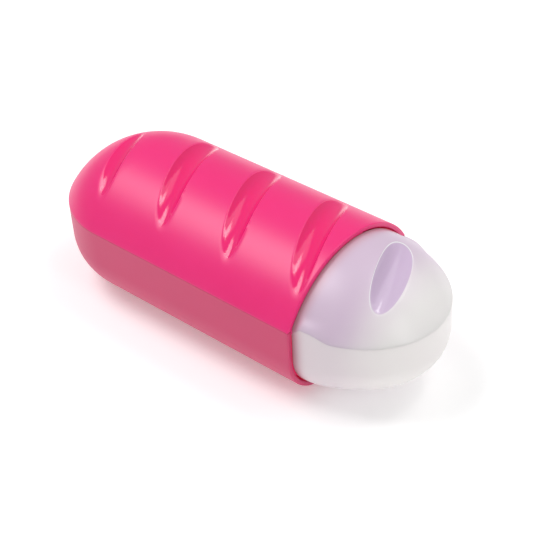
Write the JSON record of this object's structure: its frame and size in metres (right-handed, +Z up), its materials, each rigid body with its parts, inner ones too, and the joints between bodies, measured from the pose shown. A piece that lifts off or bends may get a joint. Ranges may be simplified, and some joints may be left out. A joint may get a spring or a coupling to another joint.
{
  "type": "derma roller",
  "caption": "Compact capsule-shaped derma roller: hollow grip with slanted finger scoops, drum of needle discs on a fork, and a translucent pull-off cap.",
  "frame": {"origin": "middle of the bounding box at the underside of the grip, where it stands", "axes": "+X along the capsule to the nose of the cap, +Z up through the arch, +Y across"},
  "size_m": [0.1068, 0.044, 0.0356],
  "materials": {
    "grip_arch": "hot pink satin-gloss moulded plastic",
    "grip_base": "hot pink satin moulded plastic",
    "collar_plastic": "pale lavender moulded plastic",
    "seal_rubber": "soft grey elastomer",
    "head_plastic": "lavender moulded plastic",
    "drum_plastic": "lavender moulded plastic",
    "bush_plastic": "white acetal",
    "pin_steel": "ground stainless steel",
    "screw_steel": "zinc-plated steel",
    "needle_steel": "etched stainless steel",
    "cap_clear": "translucent frosted plastic, thin dome",
    "cap_milky": "milky translucent plastic, thicker tray"
  },
  "bodies": {
    "handle": {"upper_shell": "grip_arch", "lower_shell": "grip_base", "collar": "collar_plastic", "grip_ring": "seal_rubber", "fork": "head_plastic", "fork_screws": "screw_steel", "bush_near": "bush_plastic", "bush_far": "bush_plastic"},
    "drum": {"axle_pin": "pin_steel", "axle_cap_near": "head_plastic", "axle_cap_far": "head_plastic", "drum_core": "drum_plastic", "drum_flange_near": "drum_plastic", "drum_flange_far": "drum_plastic", "needle_disc_1": "needle_steel", "needle_disc_2": "needle_steel", "needle_disc_3": "needle_steel", "needle_disc_4": "needle_steel", "needle_disc_5": "needle_steel", "needle_disc_6": "needle_steel", "needle_disc_7": "needle_steel", "needle_disc_8": "needle_steel", "needle_disc_9": "needle_steel", "spacer_ring_1": "drum_plastic", "spacer_ring_2": "drum_plastic", "spacer_ring_3": "drum_plastic", "spacer_ring_4": "drum_plastic", "spacer_ring_5": "drum_plastic", "spacer_ring_6": "drum_plastic", "spacer_ring_7": "drum_plastic", "spacer_ring_8": "drum_plastic", "spacer_ring_9": "drum_plastic", "spacer_ring_10": "drum_plastic"},
    "cap": {"cap_dome": "cap_clear", "cap_tray": "cap_milky"}
  },
  "joints": [
    {"name": "cap_slide", "type": "slide", "parent": "handle", "child": "cap", "axis": [1, 0, 0], "range_m": [0, 0.05]},
    {"name": "drum_spin", "type": "hinge", "parent": "handle", "child": "drum", "pos_m": [0.03885, 0, 0.0162], "axis": [0, 1, 0], "continuous": true}
  ]
}
